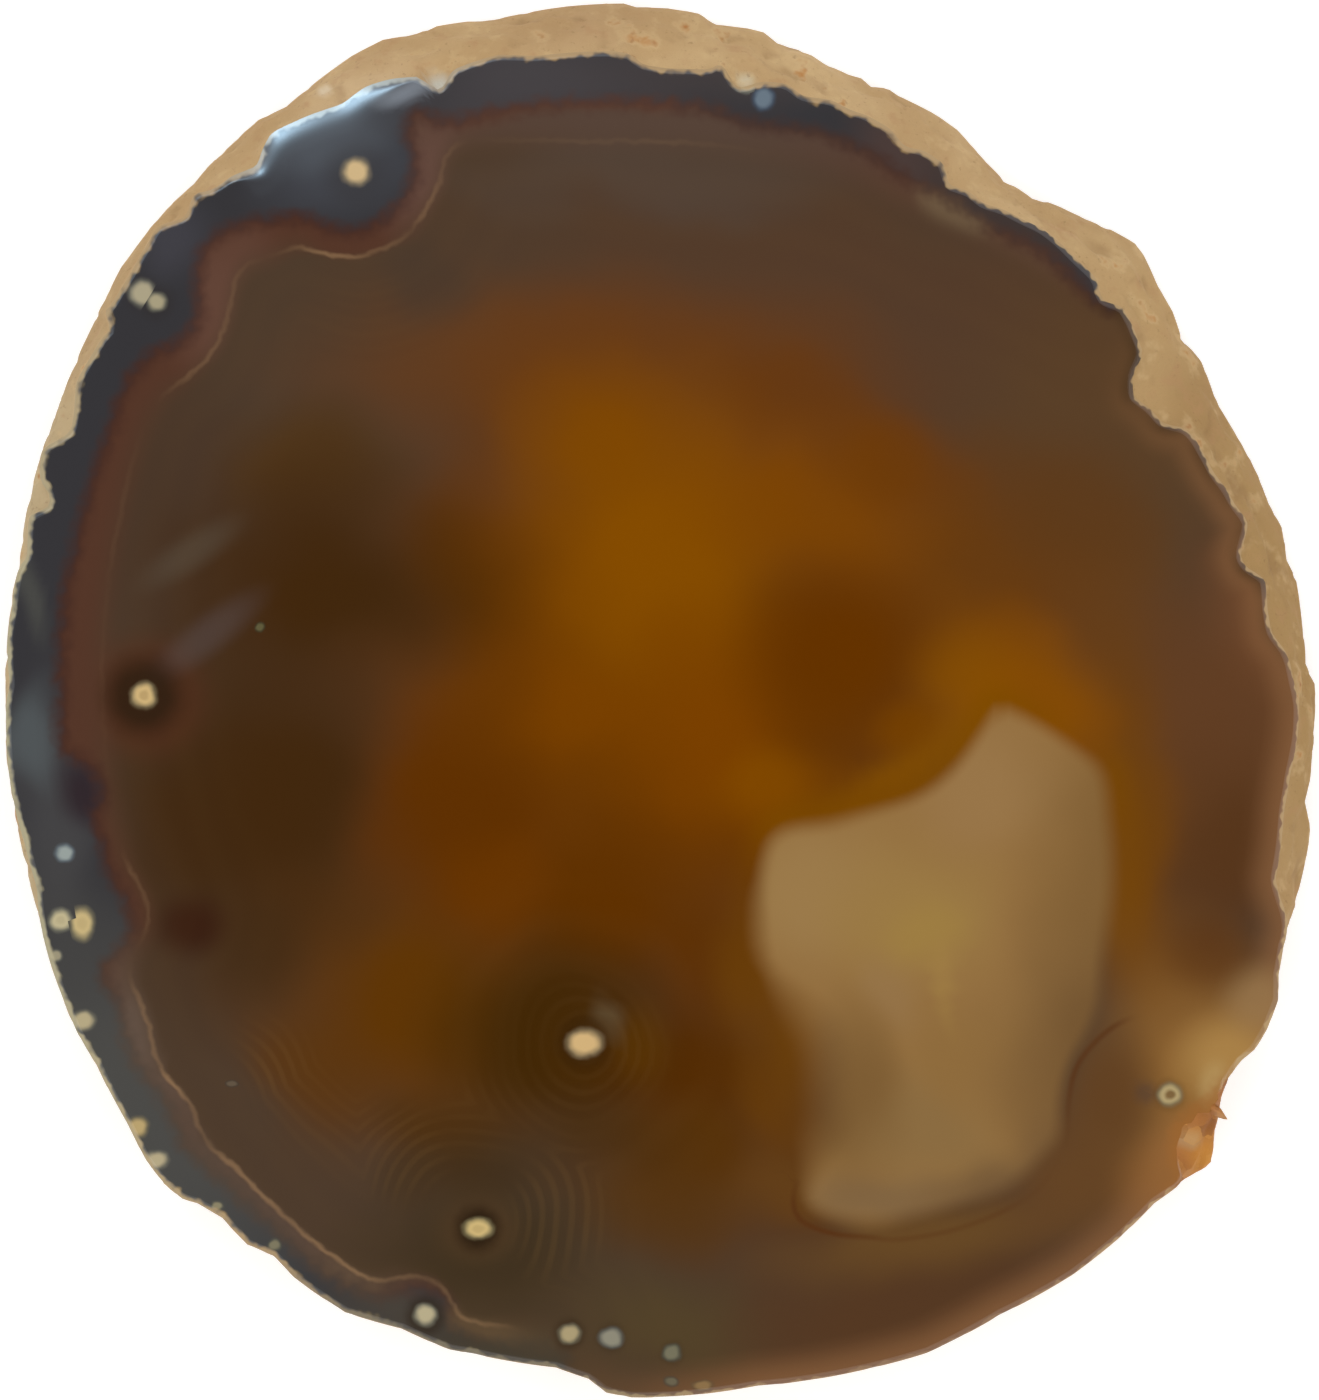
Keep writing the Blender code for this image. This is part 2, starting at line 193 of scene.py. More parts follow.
# Clouds of colour are soft ellipses, each laid over the last:
# middle's x and y, half width, half height, turn in degrees, colour, strength
CLOUD_FIRMNESS = 0.15
DRIFT_SIZES_MM = (9.0, 3.6)
DRIFT_REACH_MM = (2.2, 0.7)
SWAY_SIZE_MM = 7.0
# The stone's amber colours are its own, brightened by painted light that comes through the stone from
# behind
STONE_GROUND = (78, 60, 45)
STONE_CLOUDS = [
    (14, 32, 42, 15, -10, (85, 60, 42), 0.9),
    (36, 20, 18, 20, 20, (92, 65, 39), 0.8),
    (-38, 12, 12, 22, 0, (73, 54, 40), 0.9),
    (-34, -10, 15, 22, 0, (66, 43, 22), 0.9),
    (-10, -50, 30, 12, 0, (76, 60, 42), 0.9),
    (20, -48, 26, 10, 12, (86, 57, 34), 0.9),
    (-4, 26, 32, 11, -4, (107, 61, 21), 0.85),
    (4, -3, 40, 37, -20, (102, 54, 3), 1),
    (-20, -24, 18, 17, -40, (97, 54, 2), 0.95),
    (-9, 3, 20, 27, 0, (108, 57, 1), 0.85),
    (26, 10, 16, 14, 0, (108, 60, 4), 0.7),
    (33, 15, 12, 8, -40, (92, 58, 26), 0.6),
    (38, -5, 10, 22, 8, (110, 64, 12), 0.85),
    (8, -36, 22, 12, 0, (94, 55, 14), 0.8),
    (0, 12, 15.5, 17.5, 0, (135, 77, 0), 0.95),
    (-5, 21, 9, 8, 0, (130, 73, 0), 0.75),
    (-15, 10, 8, 9, 0, (88, 48, 4), 0.8),
    (10, 24, 8, 5, 0, (106, 56, 6), 0.5),
    (12, 15, 15, 9, -25, (127, 69, 0), 0.8),
    (18, 19, 10, 6, -25, (112, 59, 0), 0.7),
    (29, 0, 13, 8, -38, (134, 76, 2), 0.9),
    (4, -3, 11, 13, -15, (126, 66, 0), 0.8),
    (-6, -1, 8, 7, 0, (124, 66, 0), 0.7),
    (9, -7, 8, 5, 15, (131, 74, 0), 0.8),
    (20, -6, 11, 3.5, 32, (130, 78, 2), 0.8),
    (-28, 19, 10, 8, 0, (80, 51, 16), 0.7),
    (-27, 9, 17, 13.5, 0, (66, 40, 14), 1),
    (-30, -8, 14, 15, 0, (66, 40, 14), 0.95),
    (-16, -9, 11, 13, 0, (96, 48, 0), 0.9),
    (-5, -16, 12, 9, 0, (96, 49, 0), 0.95),
    (-13, -14, 7, 6, 0, (108, 55, 0), 0.6),
    (3, -21, 7, 7, 0, (94, 48, 0), 0.7),
    (-9, -27, 13, 12, 0, (66, 40, 6), 1),
    (-5, -29, 6, 5, 0, (72, 40, 0), 0.6),
    (3, -29, 10, 8, 0, (84, 43, 0), 0.9),
    (9.5, -31, 5, 8, 0, (106, 62, 6), 0.6),
    (-28, -30, 8, 6, -40, (92, 54, 12), 0.6),
    (-17, -35, 9, 5, -10, (74, 46, 12), 0.7),
    (2, -36, 7, 6, 0, (86, 49, 4), 0.7),
    (0, -41, 9, 5, 0, (84, 52, 14), 0.6),
    (-14, -43, 14, 9, 0, (63, 49, 31), 0.9),
    (-5, -36, 9, 5, 0, (70, 45, 16), 0.6),
    (1, -50, 10, 6, 0, (84, 68, 42), 0.8),
    (0, 41.5, 22, 4, 0, (84, 70, 60), 0.6),
    (10, -23, 4, 12, 15, (108, 64, 4), 0.8),
    (11, -39, 9, 4, 0, (102, 66, 26), 0.7),
    (21, -43.5, 17, 4, 8, (106, 75, 38), 0.85),
    (46, -1, 10, 20, 0, (99, 63, 36), 0.9),
    (45.5, -12, 7, 12, 0, (87, 54, 27), 0.9),
    (39, -12, 4, 16, 0, (111, 66, 14), 0.8),
    (47.5, 7, 6, 8, 0, (112, 73, 46), 0.8),
    (34, -38, 12, 9, 20, (102, 69, 37), 0.95),
    (40, -22, 10, 8, -20, (114, 72, 26), 0.8),
    (-19.5, 33, 6, 4.5, 0, (68, 56, 46), 0.5),
]
STONE_SPOTS = [
    (14, 3.6, 11, 10, 0, (101, 51, 0), 1),
    (24, 1, 6, 7, 0, (138, 82, 0), 0.5),
    (19.5, -2.2, 4.5, 3.2, 30, (118, 65, 0), 0.8),
    (-6.4, -27.2, 11, 11, 0, (67, 39, 6), 0.5),
    (-1.6, -27.6, 3.2, 4.5, 0, (94, 57, 5), 0.5),
    (-14.6, -37.5, 7, 4, 0, (64, 46, 26), 0.6),
    (-20, -38, 4, 4, 0, (68, 50, 30), 0.6),
    (-32, -20, 6, 7, 0, (63, 42, 21), 0.6),
    (7, -22, 4.5, 8, 0, (108, 64, 7), 0.7),
    (43, -30, 12, 12, 0, (142, 100, 50), 0.9),
    (36, -31.5, 5, 8, 0, (98, 65, 34), 0.9),
    (45, -28.5, 6, 5, 20, (172, 132, 74), 0.9),
    (44.2, -31, 2, 3, 0, (184, 154, 100), 0.7),
    (38.6, -31.4, 1.4, 1.4, 0, (88, 66, 50), 0.7),
    (47.5, -24, 4, 4, 0, (156, 122, 80), 0.7),
    (41.5, -37, 8, 5, 40, (148, 100, 54), 0.85),
    (-41.2, 0.1, 6.8, 6.4, 0, (86, 47, 29), 0.95),
    (-37.4, -18.1, 4.2, 3.6, 0, (56, 28, 16), 0.85),
    (-37.5, 11.6, 6.5, 2, 34, (90, 78, 64), 0.5),
    (-36.2, 5, 7.5, 2.1, 38, (88, 74, 70), 0.5),
    (-4.2, -25.4, 2.6, 1.5, -48, (104, 88, 62), 0.5),
    (43.5, -20.5, 5, 4, 0, (92, 54, 22), 0.6),
    (-14.6, -42.2, 4.4, 3.6, 0, (84, 61, 38), 0.7),
]
WINDOW_GROUND = (148, 112, 65)
WINDOW_CLOUDS = [
    (12, -15, 11, 8, 0, (157, 124, 76), 0.9),
    (26, -7, 10, 8, 0, (154, 119, 74), 0.9),
    (36, -14, 10, 17, 0, (128, 95, 53), 0.9),
    (20, -17, 9, 9, 15, (156, 123, 69), 0.9),
    (21, -18.5, 3.4, 4.5, 25, (160, 128, 66), 0.7),
    (18.8, -23.5, 3.5, 5, 17, (150, 117, 76), 0.6),
    (23.3, -23.6, 1, 5.8, 17, (162, 128, 70), 0.7),
    (17, -40, 12, 4, 0, (128, 100, 66), 0.9),
    (26, -39, 8, 5, 20, (116, 88, 56), 0.9),
    (20, -34, 10, 6, 0, (138, 108, 66), 0.8),
    (33, -28, 9, 14, 0, (112, 82, 48), 0.85),
    (24, -29, 6, 6, 0, (142, 107, 60), 0.7),
    (15, -31, 5.5, 10.5, 0, (122, 90, 50), 0.85),
    (31, -36.5, 4, 5, 0, (114, 85, 54), 0.6),
]
BAND_GROUND = (85, 55, 41)
BAND_CLOUDS = [
    (0, 45, 36, 10, 0, (87, 68, 57), 1),
    (-5, 47.8, 16, 2.6, 0, (102, 62, 42), 0.7),
    (-18.5, 42, 7, 9, 0, (100, 73, 62), 0.9),
    (-35, 32, 6, 8, -30, (100, 70, 57), 0.9),
    (28, 37, 16, 12, 0, (94, 68, 53), 1),
    (-32, -38, 26, 16, -40, (90, 72, 60), 1),
    (-42, -26, 4.5, 10, 15, (99, 82, 70), 0.9),
    (-25, -47, 6, 4, -20, (96, 77, 60), 0.8),
    (-9, -51.5, 11, 5, 0, (80, 66, 48), 1),
    (-13.8, -50.1, 5, 1.7, -10, (100, 80, 56), 0.9),
    (24, 39.8, 4.5, 1.8, -35, (124, 104, 78), 0.8),
]
EDGE_GROUND = (60, 36, 32)
EDGE_CLOUDS = [
    (-40, -38, 36, 22, -45, (76, 66, 56), 1),
    (-5, 47, 18, 4, 0, (84, 50, 38), 0.8),
    (-10, -51, 14, 6, 0, (72, 61, 48), 1),
    (-14.2, -50, 4.5, 2.2, -10, (100, 79, 56), 0.8),
]
BLACK_GROUND = (55, 54, 57)
BLACK_CLOUDS = [
    # Lighter blue-grey at the left: painted reflection haze on the polish
    (-49, -9, 5, 16, 0, (70, 69, 70), 0.9),
    (-50, -2.5, 2.2, 6.5, 0, (84, 90, 92), 0.8),
    # Blue-grey glow round the shining edge at the upper left and a pale streak at its end: painted
    # reflection of the lamp
    (-25, 42, 10, 6, 20, (68, 70, 76), 0.9),
    (-26.5, 45.5, 9, 4.5, 28, (84, 89, 96), 0.8),
    (-21, 49.5, 4, 1.1, 8, (142, 150, 160), 0.8),
    (-10, 49, 16, 6, 0, (72, 68, 70), 0.9),
    (4, 50, 16, 6, 0, (68, 62, 62), 0.9),
    (26, 40, 16, 10, -35, (64, 54, 51), 1),
    # Lighter grey at the lower left: painted reflection haze on the polish
    (-40, -32, 26, 16, -50, (76, 75, 72), 1),
    (-21, -49, 8, 5, -20, (72, 66, 59), 1),
    (-12, -52, 12, 6, 0, (70, 62, 50), 1),
    (-46.5, -7, 4, 4, 0, (48, 37, 42), 0.9),
    (-38.5, 36, 5, 4, 45, (66, 65, 71), 0.9),
    (19, 43.5, 6, 3, -25, (78, 62, 58), 0.8),
    (-50.6, 8.5, 1.4, 5, 8, (76, 76, 72), 0.8),
]
SKIN_GROUND = (195, 163, 118)
SKIN_CLOUDS = [
    # Darker over the right side: painted shade on the side turned away from the light
    (54, 10, 36, 58, 0, (168, 134, 86), 1),
    (-52, 0, 20, 60, 0, (188, 168, 132), 0.9),
    (-6, 54, 10, 4, 10, (178, 144, 104), 0.6),
    (10, 51.5, 9, 4, -10, (200, 168, 122), 0.7),
    (28, 45, 6, 5, -40, (188, 154, 108), 0.7),
    (40, 31, 5, 5, 0, (186, 152, 104), 0.7),
    (43, 23, 4, 5, 0, (162, 128, 82), 0.7),
    (-24, 48, 8, 4, 30, (208, 178, 138), 0.7),
    # Pale spots beside the shining edge at the upper left: painted highlights
    (-26.9, 48.6, 0.9, 0.7, 30, (226, 208, 178), 1),
    (-17.7, 48.9, 1.5, 1.4, 0, (206, 214, 208), 1),
    (6.7, 49.2, 1.1, 1, 0, (214, 208, 182), 1),
]
BARE_GROUND = (166, 106, 50)
BARE_CLOUDS = [
    (43.6, -36.4, 2.2, 2.6, 0, (192, 128, 50), 1),
    (42, -35, 1.5, 1.3, 0, (178, 152, 112), 0.85),
    (45, -33.6, 0.9, 0.8, 0, (190, 148, 112), 0.9),
]
RIM_GROUND = (180, 148, 100)
RIM_CLOUDS = [
    (-52, -10, 26, 60, 0, (176, 166, 130), 1),
    (-18, -52, 32, 12, 0, (120, 108, 82), 1),
    (22, -50, 24, 12, 20, (140, 106, 72), 1),
    # Pale blue-white line along the seam where the edge shines: painted highlight
    (-26, 48, 16, 8, 30, (176, 186, 184), 1),
]

# Single colours that are laid over the clouds
# Painted glow: light coming through the thin stone just inside the skin
GLOW_COLOUR = (133, 93, 60)
DARK_SEAM_COLOUR = (52, 38, 20)
GROWTH_LINE_COLOUR = (138, 104, 58)
OLIVE_COLOUR = (124, 74, 0)
THREAD_COLOUR = (88, 50, 22)
PALE_LINE_COLOUR = (156, 122, 88)
EYE_DARK_COLOUR = (44, 31, 18)
EYE_MIDDLE_COLOUR = (112, 82, 46)
BARE_RIM_COLOUR = (156, 102, 50)

# Where lines and softer edges show: shaped like the clouds, with a strength and no colour
STRETCH_FULLNESS = 1.6
LINE_STRETCHES = [
    (-24, 34, 8, 5, 0, 0.5),
    (-18, 41, 3.5, 7, 0, 0.25),
    (-36, 30, 6, 10, 0, 0.25),
    (-43, 8, 4, 18, 0, 0.05),
    (-41, -15.5, 3.5, 5, 0, 0.25),
    (-41, -26, 3.5, 6, 0, 0.3),
    (-38, -32, 4, 5, 0, 0.6),
    (-30, -41, 15, 7, -45, 0.5),
    (-17, -47.5, 7, 4, -20, 0.4),
    (-3, 44.4, 14, 2.5, 0, 0.1),
]
GROWTH_STRETCHES = [
    (-27.5, -32, 10, 5, -50, 1),
    (-21.5, -36, 6, 5, 0, 0.6),
    (-13, -33, 7, 5, 20, 0.3),
    (-8, -41, 5, 8, 0, 0.7),
    (-6.5, -28, 9, 8, 0, 0.4),
    (-22, 30, 12, 6, 15, 0.15),
]
OLIVE_STRETCHES = [
    (18, -5, 20, 10, 22, 1),
    (37.5, -12, 5, 15, 0, 0.8),
]
THREAD_STRETCHES = [
    (13.5, -41.5, 7, 4, 0, 1.3),
    (20, -40, 17, 9, 0, 0.5),
    (34, -29, 5, 9, 0, 1),
]
SOFT_WINDOW_STRETCHES = [
    (12, -30, 9, 11, 0, 1),
    (6, -19, 4, 6, 0, 0.2),
    (37, -14, 4, 14, 0, 0.2),
]

# Pale tube eyes: middle's x and y, half width, half height, colour
PLAIN_EYES = [
    (-47.5, -12.3, 0.75, 0.7, (152, 161, 157)),
    (-48.2, -20.5, 0.5, 0.45, (156, 148, 122)),
    (-46, -25.6, 0.9, 0.75, (182, 168, 132)),
    (-41.7, -34.1, 0.8, 0.8, (186, 162, 112)),
    (-40.2, -36.7, 0.9, 0.7, (182, 168, 134)),
    (-35.4, -40.4, 0.5, 0.4, (140, 132, 104)),
    (-30.8, -43.5, 0.5, 0.45, (126, 120, 96)),
    (0.8, -54.4, 0.6, 0.45, (106, 98, 78)),
    (3.3, -54.7, 0.9, 0.4, (140, 112, 74)),
    (6.8, 49.3, 1, 0.95, (206, 198, 164)),
    (8.15, 47.8, 0.85, 0.9, (106, 120, 132)),
    (-32, 5.7, 0.38, 0.38, (96, 90, 60)),
    (-34.2, -30.7, 0.5, 0.25, (98, 84, 68)),
]

# Eyes with some dark: the same, then the reach and strength of the dark round the eye,
# and the strength of the dark in its middle
DARK_EYES = [
    (-24.3, 42, 1.08, 1.05, (208, 180, 134), 3.6, 0.2, 0),
    (-41.3, 32.3, 1.05, 1.05, (172, 162, 134), 2, 0.2, 0),
    (-40.2, 31.6, 0.8, 0.75, (168, 158, 128), 2, 0.2, 0),
    (-41.2, 0.25, 0.98, 0.98, (210, 180, 124), 4.4, 0.85, 0.3),
    (-47.85, -17.6, 0.9, 0.85, (194, 182, 144), 1.6, 0, 0.15),
    (-46.15, -17.9, 0.95, 1.25, (202, 180, 128), 1.6, 0, 0.15),
    (-18.8, -49.1, 0.9, 0.85, (184, 172, 138), 2.1, 0.7, 0),
    (-14.6, -42.2, 1.15, 0.82, (208, 182, 122), 2.5, 0.95, 0.2),
    (-6.1, -27.4, 1.38, 1.1, (212, 178, 124), 3, 0.35, 0),
    (-7.3, -50.6, 0.85, 0.75, (172, 156, 118), 1.6, 0.6, 0),
    (-4, -50.9, 0.95, 0.8, (142, 138, 120), 1.6, 0.4, 0),
    (0.85, -52.1, 0.75, 0.65, (118, 114, 92), 1.3, 0.3, 0),
    (40.5, -31.55, 0.95, 0.88, (180, 160, 114), 1.7, 0.3, 0.85),
]
NO_DARK = (1, 0, 0)


def srgb(red, green, blue):
    """A colour as the photograph shows it, 0 to 255, as linear light."""
    values = []
    for value in (red, green, blue):
        share = value / 255
        values.append(share / 12.92 if share <= 0.04045 else ((share + 0.055) / 1.055) ** 2.4)
    return (*values, 1.0)


def smooth_step(value):
    share = np.clip(value, 0.0, 1.0)
    return share * share * (3 - 2 * share)


def span_share(angles, span):
    """1 within a stretch of the rim, fading smoothly to 0 beyond its ends."""
    middle, half_width, fade = span
    turn = np.abs(np.angle(np.exp(1j * (angles - middle))))
    return smooth_step(1 - (turn - half_width) / fade)


def rounded(path):
    """The same open path as a smooth curve through its points."""
    ends = [path[0]] + path + [path[-1]]
    curve = []
    for before, here, there, after in zip(ends, ends[1:], ends[2:], ends[3:]):
        corners = np.array([before, here, there, after])
        for share in (0.0, 0.33, 0.67):
            powers = np.array([1, share, share**2, share**3])
            weights = powers @ np.array([[0, 2, 0, 0], [-1, 0, 1, 0], [2, -5, 4, -1], [-1, 3, -3, 1]]) / 2
            curve.append(tuple(weights @ corners))
    return curve + [path[-1]]


def distance_to_path(points, path):
    """Distance from each point to the nearest stretch of an open path."""
    nearest = np.full(len(points), np.inf)
    x, y = points.T
    for (ax, ay), (bx, by) in zip(path, path[1:]):
        along_x, along_y = bx - ax, by - ay
        share = ((x - ax) * along_x + (y - ay) * along_y) / (along_x**2 + along_y**2)
        share = np.clip(share, 0, 1)
        nearest = np.minimum(nearest, (x - ax - share * along_x) ** 2 + (y - ay - share * along_y) ** 2)
    return np.sqrt(nearest)


def is_inside(points, outline):
    """Whether each point is inside the closed outline."""
    inside = np.zeros(len(points), bool)
    x, y = points.T
    for (ax, ay), (bx, by) in zip(outline, outline[1:] + outline[:1]):
        if ay != by:
            crosses = (ay > y) != (by > y)
            inside ^= crosses & (x < ax + (y - ay) * (bx - ax) / (by - ay))
    return inside


def signed_distance(points, path, closing=()):
    """Distance to the path, counted positive inside the outline that the closing completes."""
    curve = rounded(path if closing else path + path[:1])
    distance = distance_to_path(points, curve)
    return np.where(is_inside(points, curve + list(closing)), distance, -distance)


def drifted(places):
    """Places shifted a little, so that ellipses drawn on them lose their even shape."""
    shifts = []
    for x, y in places:
        broad = noise.noise_vector(Vector((x, y, 0)) / DRIFT_SIZES_MM[0]) * DRIFT_REACH_MM[0]
        fine = noise.noise_vector(Vector((x, y, 9)) / DRIFT_SIZES_MM[1]) * DRIFT_REACH_MM[1]
        shifts.append((broad + fine).xy)
    return places + np.array(shifts)


def cloud_share(places, across, up, width, height, turn):
    """1 in the middle of an ellipse, falling smoothly to 0 at its edge."""
    x, y = places.T
    cosine, sine = math.cos(math.radians(turn)), math.sin(math.radians(turn))
    along = ((x - across) * cosine + (y - up) * sine) / width
    beside = ((y - up) * cosine - (x - across) * sine) / height
    return smooth_step((1 - np.hypot(along, beside)) / (1 - CLOUD_FIRMNESS))


def lay_over(colours, shares, colour):
    """Lays one colour over the places' colours, by the share of each."""
    colours += shares[:, None] * (srgb(*colour) - colours)


def lay_clouds(colours, places, clouds):
    for *shape, colour, strength in clouds:
        lay_over(colours, strength * cloud_share(places, *shape), colour)


def cloud_colours(places, ground, clouds):
    """Colour of each place: the ground with the clouds laid over it."""
    colours = np.tile(srgb(*ground), (len(places), 1))
    lay_clouds(colours, places, clouds)
    return colours


def stretch_strengths(places, stretches):
    """Strength of each place: the strongest of the stretches that cover it."""
    strengths = np.zeros(len(places))
    for *shape, strength in stretches:
        share = np.minimum(STRETCH_FULLNESS * cloud_share(places, *shape), 1.0)
        strengths = np.maximum(strengths, strength * share)
    return strengths


def read_profiles(solid):
    """The solid's stations: their angles, and the heights and reaches in mm of each one's wall."""
    corners = [solid.matrix_world @ vertex.co / MM for vertex in solid.data.vertices]
    places = np.unique(np.round(corners, 4), axis=0)
    turns = np.arctan2(places[:, 1], places[:, 0])
    order = np.argsort(turns)
    stations = np.split(order, np.flatnonzero(np.diff(turns[order]) > STATION_GAP) + 1)
    angles, profiles = [], []
    for station in stations:
        wall = places[station[np.argsort(places[station, 2])]]
        angles.append(turns[station].mean())
        profiles.append((wall[:, 2], np.hypot(wall[:, 0], wall[:, 1])))
    return np.array(angles), profiles


def fine_angles(angles):
    """The same angles, with wide gaps between them divided."""
    fine = []
    for here, there in zip(angles, np.append(angles[1:], angles[0] + 2 * math.pi)):
        parts = math.ceil((there - here) / WIDEST_STEP)
        fine += [here + (there - here) * part / parts for part in range(parts)]
    return np.array(fine)


def skin_relief(angles, reaches, height):
    """Pebbles and grain of the skin in mm, on top of the solid's own lumps."""
    relief = []
    for angle, reach in zip(angles, reaches):
        place = Vector((reach * math.cos(angle), reach * math.sin(angle), height))
        distances, points = noise.voronoi(place / PEBBLE_SIZE_MM)
        fine = noise.fractal(place / GRAIN_SIZE_MM, 0.9, 2.2, 2)
        relief.append(PEBBLE_HEIGHT_MM * (0.35 - distances[0] ** 2) + GRAIN_HEIGHT_MM * fine)
    return np.array(relief)


def face_shares(radius, insets, outer_spacing, inner_spacing):
    """Sizes of the rings across a flat face, as shares of its outline, from the rim inwards."""
    depths = list(insets)
    while depths[-1] < radius - 2 * inner_spacing:
        depths.append(depths[-1] + (outer_spacing if depths[-1] < OUTER_ZONE_MM else inner_spacing))
    return [1 - depth / radius for depth in depths]


class Slab:
    """Rings of the fine mesh from the middle of the polished face to that of the underside."""

    def __init__(self, solid):
        self.station_angles, self.profiles = read_profiles(solid)
        sliver = SLIVER_ANGLE + np.array([-1.0, -0.5, 0.0, 0.5, 1.0]) * SLIVER_HALF_WIDTH
        self.angles = np.sort(np.append(fine_angles(self.station_angles), sliver))
        self.directions = np.stack([np.cos(self.angles), np.sin(self.angles)], 1)
        self.thickness = max(heights[-1] for heights, reaches in self.profiles)
        self.shoulder = self.thickness - SOLID_EDGE_MM
        self.wall_heights = np.linspace(self.shoulder, SOLID_EDGE_MM, WALL_STEPS + 1)
        self.wall_reaches = [self.reach_at(height) for height in self.wall_heights]
        self.widest = np.max(self.wall_reaches, axis=0)
        self.foot = self.wall_reaches[-1]
        self.polish = self.seam()
        self.rings = []
        self.add_polished_face()
        self.add_edge()
        self.add_wall()
        self.add_underside()

    def reach_at(self, height):
        """The solid's reach at one height, for every angle."""
        reaches = [np.interp(height, heights, reaches) for heights, reaches in self.profiles]
        return np.interp(self.angles, self.station_angles, reaches, period=2 * math.pi)

    def evened(self, reaches, half_turn):
        """The reaches averaged over the angles nearby."""
        shifted = []
        for turn in np.linspace(-half_turn, half_turn, 9):
            shifted.append(np.interp(self.angles + turn, self.angles, reaches, period=2 * math.pi))
        return np.mean(shifted, axis=0)

    def seam(self):
        """Reach of the edge where the polish meets the skin."""
        gap = self.widest - self.evened(self.wall_reaches[0], SEAM_SOFTENING)
        gap = np.maximum(gap, LEAST_SKIN_MM)
        thin, wide = THIN_SKIN_MM
        share = THIN_SKIN_SHARE + (1 - THIN_SKIN_SHARE) * smooth_step((gap - thin) / (wide - thin))
        jags = [abs(noise.noise(Vector((angle * JAGS_PER_TURN, 0.5, 0.5)))) for angle in self.angles]
        inwards = gap * share - SEAM_SHIFT_MM
        inwards += JAG_REACH_MM * np.array(jags) * span_share(self.angles, BARE_SPAN)
        return self.widest - np.maximum(inwards, LEAST_SKIN_MM)

    def add(self, part, reach, height, relief=0.0):
        level = np.zeros_like(self.angles)
        self.rings.append((part, reach + level, height + level, relief + level))

    def add_polished_face(self):
        self.shine = span_share(self.angles, SHINE_SPAN)
        narrow = self.polish - EDGE_WIDTH_MM
        wide = np.minimum(self.evened(self.polish, SHINE_EVENING) - SHINE_WIDTH_MM, narrow)
        self.edge_width = self.polish - narrow - (wide - narrow) * self.shine
        rim = self.polish - self.edge_width
        for share in reversed(face_shares(rim.mean(), FACE_INSETS_MM, OUTER_SPACING_MM, INNER_SPACING_MM)):
            self.add("polish", rim * share, self.thickness)
        self.add("polish", rim, self.thickness)

    def add_edge(self):
        full_width = EDGE_WIDTH_MM + (SHINE_WIDTH_MM - EDGE_WIDTH_MM) * self.shine
        full_fall = SOLID_EDGE_MM * (1 - span_share(self.angles, BARE_SPAN))
        for step in range(1, EDGE_STEPS + 1):
            outwards = self.edge_width * step / EDGE_STEPS
            fall = full_fall * (outwards / full_width) ** 2
            height = self.thickness - np.minimum(fall, LOWEST_EDGE_MM)
            self.add("polish", self.polish - self.edge_width + outwards, height)

    def add_wall(self):
        away = np.abs(self.angles - SLIVER_ANGLE) / SLIVER_HALF_WIDTH
        sliver = SLIVER_REACH_MM * np.clip(1 - away, 0, 1)
        for height, solid_reach in zip(self.wall_heights[1:-1], self.wall_reaches[1:-1]):
            upright = height > self.thickness / 2
            reach = np.maximum(solid_reach, self.polish) if upright else solid_reach
            relief = skin_relief(self.angles, reach, height)
            reach = np.minimum(reach + relief, self.widest)
            if height > SLIVER_FROM_HEIGHT_MM:
                reach = np.where(sliver > 0, np.maximum(reach, self.widest + sliver), reach)
            self.add("skin", reach, height, relief)
        self.add("skin", self.foot, SOLID_EDGE_MM)

    def add_underside(self):
        rim = self.foot - SOLID_EDGE_MM
        self.add("underside", self.foot - UNDERSIDE_BEND_MM, UNDERSIDE_BEND_MM)
        self.add("underside", rim, 0.0)
        insets = FACE_INSETS_MM[2::2]
        for share in face_shares(rim.mean(), insets, UNDERSIDE_SPACING_MM, UNDERSIDE_SPACING_MM):
            self.add("underside", rim * share, 0.0)

    def points(self):
        """Mesh points in mm, ring by ring, with one point in the middle of each flat face."""
        points = [[[0.0, 0.0, self.thickness]]]
        for part, reach, height, relief in self.rings:
            points.append(np.column_stack([self.directions * reach[:, None], height]))
        points.append([[0.0, 0.0, 0.0]])
        return np.concatenate(points)

    def spread(self, values_per_ring, first, last):
        """One value for each mesh point, from the rings' values and those of the middle points."""
        count = len(self.angles)
        rows = [np.broadcast_to(values, count) for values in values_per_ring]
        return np.concatenate([[first], *rows, [last]])

    def faces(self):
        """Corner numbers of every face, with the part and the turn of each."""
        count, rings = len(self.angles), len(self.rings)
        faces = [(0, 1 + turn, 1 + (turn + 1) % count) for turn in range(count)]
        for ring in range(rings - 1):
            upper, lower = 1 + ring * count, 1 + (ring + 1) * count
            for turn in range(count):
                after = (turn + 1) % count
                faces.append((upper + turn, lower + turn, lower + after, upper + after))
        last, middle = 1 + (rings - 1) * count, 1 + rings * count
        faces += [(last + turn, middle, last + (turn + 1) % count) for turn in range(count)]
        parts = ["polish", *(ring[0] for ring in self.rings[1:]), "underside"]
        return faces, np.repeat(parts, count), np.tile(np.arange(count), rings + 1)


def add_attribute(mesh, name, values, domain="POINT"):
    """Stores one number, vector or colour for each point or face."""
    values = np.asarray(values, np.float32)
    width = values.shape[1] if values.ndim == 2 else 1
    kind, key = {1: ("FLOAT", "value"), 3: ("FLOAT_VECTOR", "vector"), 4: ("FLOAT_COLOR", "color")}[width]
    mesh.attributes.new(name, kind, domain).data.foreach_set(key, values.ravel())


